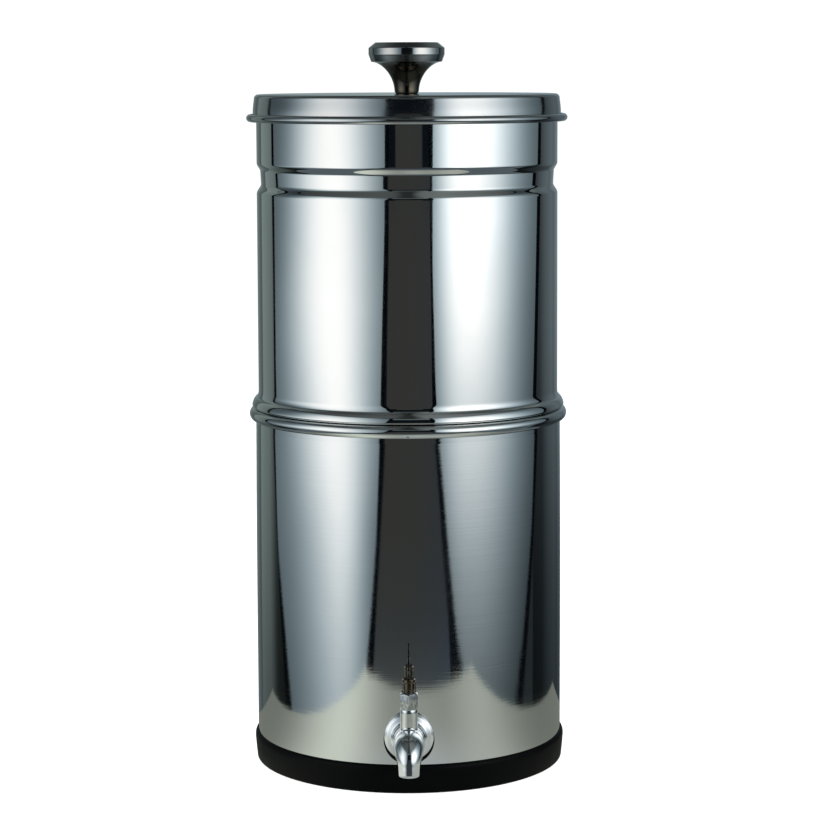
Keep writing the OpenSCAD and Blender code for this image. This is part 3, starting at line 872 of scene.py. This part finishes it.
def wall_panel(name, left, right, z0, z1, radius, light, nu=48, nv=36, **flags):
    """A curved panel. left and right give its edges as (z, azimuth) in mm and degrees; light(az, z) its colour."""
    left, right = sorted(left), sorted(right)

    def az_at(u, z):
        a = np.interp(z, [p[0] for p in left], [p[1] for p in left])
        b = np.interp(z, [p[0] for p in right], [p[1] for p in right])
        return a + (b - a) * u

    def grid(u, v):
        z = z0 + (z1 - z0) * v
        a = math.radians(az_at(u, z))
        return (radius * math.sin(a), -radius * math.cos(a), z * MM)

    def colour(u, v):
        z = z0 + (z1 - z0) * v
        return light(az_at(u, z), z)

    return sheet_light(name, grid, colour, nu, nv, **flags)


def grow(edge, by):
    return [(z, a + by) for z, a in edge]


GAIN = 1.30          # light that a sheet of this steel shows as full white
BOX_TOP = 1500.0
BOX_BOTTOM = -330.0

left_outer = [(-330, -94), (-268, -98), (-227, -101.5), (-166, -105.5), (-116, -110.5), (-67, -112.8), (30, -115), (120, -117.5), (900, -119)]
left_inner = [(-330, -36), (-250, -32), (-165, -27.5), (-60, -23), (60, -20.5), (200, -18), (330, -16), (900, -14.5)]
right_inner = [(-330, 46.5), (-255, 42), (-198, 36), (-165, 33.6), (-60, 28.2), (30, 24.2), (93, 20.8), (250, 18.3), (900, 20)]
right_outer = [(-330, 80), (-255, 88), (-180, 94), (-60, 102.5), (60, 106.5), (200, 110.5), (460, 116), (900, 118)]


def hump(az, centre, inner_w, outer_w, inner_p, outer_p, floor, outward):
    d = (az - centre) * outward
    w, p = (outer_w, outer_p) if d > 0 else (inner_w, inner_p)
    return floor + (1 - floor) * math.exp(-((abs(d) / w) ** p))


def cool(g):
    return (0.63 + 0.37 * g, 0.87 + 0.13 * g, 1.0)


def left_light(az, z):
    t = min(1.0, max(0.0, (200 - z) / 260))
    wing = float(np.interp(z, (-60, 200, 420, 600), (29, 40, 32, 27)))
    g = hump(az, -57 + 5 * t, 31 - 11 * t, wing, 2.4, 2.3 - 0.8 * t, 0.10 + 0.05 * t, -1)
    level = float(np.interp(z, (-330, -245, -165, -65, 25, 200, 520, 900, 1200, 1500), (0.40, 0.50, 0.60, 0.76, 0.90, 0.96, 0.92, 0.78, 0.6, 0.3)))
    return tuple(GAIN * level * g * c for c in cool(min(1.0, g * level * 1.08)))


def right_light(az, z):
    t = min(1.0, max(0.0, (200 - z) / 260))
    g = hump(az, 47, 25.5 - 3 * t, 36, 3.0, 2.0, 0.07, 1)
    level = float(np.interp(z, (-330, -276, -198, -121, -45, 30, 93, 184, 315, 520, 900, 1200, 1500), (0.10, 0.13, 0.21, 0.29, 0.43, 0.60, 0.70, 0.97, 1.30, 1.40, 1.1, 0.75, 0.35)))
    return tuple(GAIN * level * g * c for c in cool(min(1.0, g * (0.25 + 0.75 * min(1.0, level)))))


wall_panel("softbox_left", left_outer, left_inner, BOX_BOTTOM, BOX_TOP, RHO, left_light, 64, 40)
wall_panel("softbox_right", right_inner, right_outer, BOX_BOTTOM, BOX_TOP, RHO, right_light, 64, 40)

# black frames round the softboxes
black = (0.0015, 0.002, 0.003)
for nm, a, b in (("left", grow(left_outer, -3.6), grow(left_inner, 3)), ("right", grow(right_inner, -3), grow(right_outer, 5))):
    wall_panel("frame_" + nm, a, b, BOX_BOTTOM - 60, BOX_TOP + 50, RHO + 0.01, lambda az, z: black, 24, 8, diffuse=False)

# the dark space between them, and a grey figure in front of it
wall_panel("gap", [(0, -34)], [(0, 46)], -740, 1100, RHO + 0.02, lambda az, z: (0.004, 0.006, 0.009), 24, 8, diffuse=False)


def figure_light(az, z):
    k = float(np.interp(z, (-330, -255, -180, 0), (1.9, 1.7, 1.15, 1.0)))
    side = float(np.interp(az, (-20, 0, 14, 30), (0.0, 0.0, 0.4, 1.0)))
    low = float(np.interp(z, (-330, -180, -60), (1.0, 0.5, 0.0)))
    return tuple(0.040 * k * c for c in (0.98 - 0.12 * side - 0.14 * low, 1.0, 0.95 + 0.22 * side + 0.14 * low))


fig_left = [(-740, -28), (-253, -26), (-163, -23.5), (-60, -20), (39, -17), (88, -15.5), (300, -13), (345, -13)]
fig_right = [(-740, 31), (-255, 30.3), (-163, 28.5), (-62, 24), (39, 20.5), (88, 18), (300, 16.5), (345, 16.5)]
wall_panel("figure", fig_left, fig_right, -740, 345, RHO - 0.01, figure_light, 24, 30, diffuse=False)
wall_panel("figure_top", [(0, -8)], [(0, 11)], 345, 460, RHO - 0.01, figure_light, 12, 4, diffuse=False)


# a dim ceiling over the softboxes, brighter on the right and dark in the middle
def ceiling_at(u, v):
    az, e = -110 + 220 * u, 36 + 51 * v
    return az, e


def ceiling_grid(u, v):
    az, e = (math.radians(q) for q in ceiling_at(u, v))
    return (2.2 * math.cos(e) * math.sin(az), -2.2 * math.cos(e) * math.cos(az), 0.25 + 2.2 * math.sin(e))


def ceiling_light(u, v):
    az, e = ceiling_at(u, v)
    t = float(np.interp(az, (-110, -70, -30, -14, -4, 6, 16, 40, 75, 110), (0.05, 0.09, 0.105, 0.09, 0.03, 0.03, 0.17, 0.21, 0.17, 0.06)))
    t *= float(np.interp(e, (36, 48, 74, 87), (1.0, 1.0, 0.85, 0.35)))
    return (t * 0.88, t * 0.98, t)


sheet_light("ceiling", ceiling_grid, ceiling_light, 88, 20, diffuse=False)


# side walls beyond the softboxes, and the wall behind
def left_strip(az, z):
    t = float(np.interp(-az, (96, 108, 111.5, 115.5, 120, 125, 145), (0.02, 0.025, 0.03, 0.05, 0.12, 0.19, 0.27)))
    k = float(np.interp(z, (-330, -200, 0, 200), (0.42, 0.6, 0.9, 1.0)))
    return tuple(t * k * c for c in (0.80, 1.0, 0.98))


def left_wall(az, z):
    t = float(np.interp(-az, (144, 150, 165, 180), (0.10, 0.13, 0.24, 0.42)))
    k = float(np.interp(z, (-330, -200, 0, 200), (0.75, 0.8, 0.95, 1.0)))
    return tuple(t * k * c for c in (0.80, 1.0, 1.02))


def right_wall(az, z):
    t = float(np.interp(az, (106, 117, 122, 128, 140, 148, 152, 165, 180), (0.03, 0.04, 0.075, 0.11, 0.15, 0.13, 0.18, 0.26, 0.42)))
    k = float(np.interp(z, (-330, -150, 0, 150, 300), (0.24, 0.36, 0.62, 0.95, 1.0)))
    if az > 165:
        k = k + (1 - k) * min(1, (az - 165) / 15) * 0.7
    return tuple(t * k * c for c in (0.76, 0.97, 1.08))


wall_panel("wall_left_near", [(0, -144)], [(0, -92)], -740, 1100, RHO + 0.03, left_strip, 52, 24, diffuse=False)
wall_panel("wall_left_far", [(0, -180)], [(0, -144)], -740, 1100, RHO + 0.03, left_wall, 24, 24, diffuse=False)
wall_panel("wall_right", [(0, 104)], [(0, 180)], -740, 1100, RHO + 0.03, right_wall, 76, 24, diffuse=False)


# what lies under the table's level
def ground_light(u, v):
    return (0.10, 0.125, 0.14)


sheet_light("ground", lambda u, v: ((u - 0.5) * 6, (v - 0.5) * 6, -0.75), ground_light, 4, 4, diffuse=False)

# small table, seen only in the reflections
tx0, tx1, ty0, ty1 = -0.276, 0.276, -0.382, 0.128
TABLE_TURN = math.radians(6.5)


def table_light(u, v):
    """A satin top: it carries a faint shine of the two softboxes."""
    x, y = tx0 + (tx1 - tx0) * u, ty0 + (ty1 - ty0) * v
    a = math.degrees(math.atan2(x, -y))
    t = 0.20 + 0.52 * math.exp(-((a + 50) / (24 if a > -50 else 28)) ** 2) + 0.26 * math.exp(-((a - 40) / 24) ** 2) + 0.12 * math.exp(-(a / 13) ** 2)
    near = math.exp(-((math.hypot(x, y + 0.17) / 0.085) ** 2))
    t += 0.14 * near
    return (t * 0.94, t, t * (0.89 + 0.12 * near))


def table_grid(u, v):
    x = tx0 + (tx1 - tx0) * u
    front = ty0 - 0.022 * (1 - (x / 0.276) ** 2)
    y = front + (ty1 - front) * v
    c, sn = math.cos(TABLE_TURN), math.sin(TABLE_TURN)
    return (x * c - y * sn, x * sn + y * c, 0.0)


sheet_light("table", table_grid, table_light, 24, 24, diffuse=False)

# pale floor, seen by the camera
fl = bpy.data.meshes.new("floor")
fl.from_pydata([(-4, -4, -0.0004), (4, -4, -0.0004), (4, 6, -0.0004), (-4, 6, -0.0004)], [], [(0, 1, 2, 3)])
floor = bpy.data.objects.new("floor", fl)
scene.collection.objects.link(floor)
floor.visible_glossy = False
floor.visible_diffuse = False
floor.visible_transmission = False
fm = bpy.data.materials.new("floor")
fm.use_nodes = True
ft = fm.node_tree
ft.nodes.clear()
fo = ft.nodes.new("ShaderNodeOutputMaterial")
fd = ft.nodes.new("ShaderNodeBsdfDiffuse")
fd.inputs["Color"].default_value = (0.9, 0.9, 0.9, 1)
fe = ft.nodes.new("ShaderNodeEmission")
fe.inputs["Color"].default_value = (1, 1, 1, 1)
fe.inputs["Strength"].default_value = 0.95
fa = ft.nodes.new("ShaderNodeAddShader")
ft.links.new(fd.outputs[0], fa.inputs[0])
ft.links.new(fe.outputs[0], fa.inputs[1])
ft.links.new(fa.outputs[0], fo.inputs["Surface"])
fl.materials.append(fm)

# world: white to the camera, a dim grey-green studio to everything else
world = bpy.data.worlds.new("studio")
scene.world = world
world.use_nodes = True
wt = world.node_tree
wt.nodes.clear()
wo = wt.nodes.new("ShaderNodeOutputWorld")
lp = wt.nodes.new("ShaderNodeLightPath")
white = wt.nodes.new("ShaderNodeBackground")
white.inputs["Color"].default_value = (1, 1, 1, 1)
white.inputs["Strength"].default_value = 1.05
dim = wt.nodes.new("ShaderNodeBackground")
tc = wt.nodes.new("ShaderNodeTexCoord")
sp = wt.nodes.new("ShaderNodeSeparateXYZ")
ramp = wt.nodes.new("ShaderNodeValToRGB")
ramp.color_ramp.elements[0].position = 0.5
ramp.color_ramp.elements[0].color = (0.02, 0.025, 0.028, 1)
ramp.color_ramp.elements[1].position = 0.76
ramp.color_ramp.elements[1].color = (0.14, 0.17, 0.17, 1)
for at, shade in ((0.62, 0.05), (0.88, 0.13), (0.96, 0.05), (1.0, 0.03)):
    step = ramp.color_ramp.elements.new(at)
    step.color = (shade * 0.85, shade, shade, 1)
half_up = wt.nodes.new("ShaderNodeMath")
half_up.operation = "MULTIPLY_ADD"
half_up.inputs[1].default_value = 0.5
half_up.inputs[2].default_value = 0.5
wt.links.new(tc.outputs["Generated"], sp.inputs[0])
wt.links.new(sp.outputs["Z"], half_up.inputs[0])
wt.links.new(half_up.outputs[0], ramp.inputs[0])
wt.links.new(ramp.outputs[0], dim.inputs["Color"])
wm = wt.nodes.new("ShaderNodeMixShader")
wt.links.new(lp.outputs["Is Camera Ray"], wm.inputs[0])
wt.links.new(dim.outputs[0], wm.inputs[1])
wt.links.new(white.outputs[0], wm.inputs[2])
wt.links.new(wm.outputs[0], wo.inputs["Surface"])


def area(name, at, target, size, power, colour=(1, 1, 1), glossy=False):
    d = bpy.data.lights.new(name, "AREA")
    d.shape = "SQUARE"
    d.size = size
    d.energy = power
    d.color = colour
    ob = bpy.data.objects.new(name, d)
    scene.collection.objects.link(ob)
    ob.location = at
    ob.rotation_mode = "QUATERNION"
    ob.rotation_quaternion = (Vector(target) - Vector(at)).to_track_quat("-Z", "Y")
    ob.visible_glossy = glossy
    ob.visible_camera = False
    return ob


area("overhead", (0.1, -0.3, 2.4), (0, 0, 0.1), 2.2, 26)
area("front_fill", (-0.9, -2.3, 1.2), (0, 0, 0.25), 1.2, 8)

# --------------------------------------------------------------------------
# Camera at the photograph's viewing angle
# --------------------------------------------------------------------------
PITCH, ROLL = math.radians(7.6), math.radians(-0.221)
fw = Vector((0, math.cos(PITCH), -math.sin(PITCH)))
up0 = Vector((0, math.sin(PITCH), math.cos(PITCH)))
rt0 = Vector((1, 0, 0))
rt = rt0 * math.cos(ROLL) + up0 * math.sin(ROLL)
up = up0 * math.cos(ROLL) - rt0 * math.sin(ROLL)
cam_data = bpy.data.cameras.new("camera")
cam_data.sensor_width = 36
cam_data.lens = 36 * 2601 / 826
cam_data.clip_start, cam_data.clip_end = 0.05, 40
cam = bpy.data.objects.new("camera", cam_data)
scene.collection.objects.link(cam)
rot = Matrix((rt, up, -fw)).transposed().to_4x4()
cam.matrix_world = Matrix.Translation((0.00352, -1.827, 0.4905)) @ rot
scene.camera = cam

scene.view_settings.view_transform = "Standard"
scene.view_settings.look = "None"
scene.view_settings.exposure = 0.0
scene.view_settings.gamma = 1.0

bpy.context.view_layer.update()
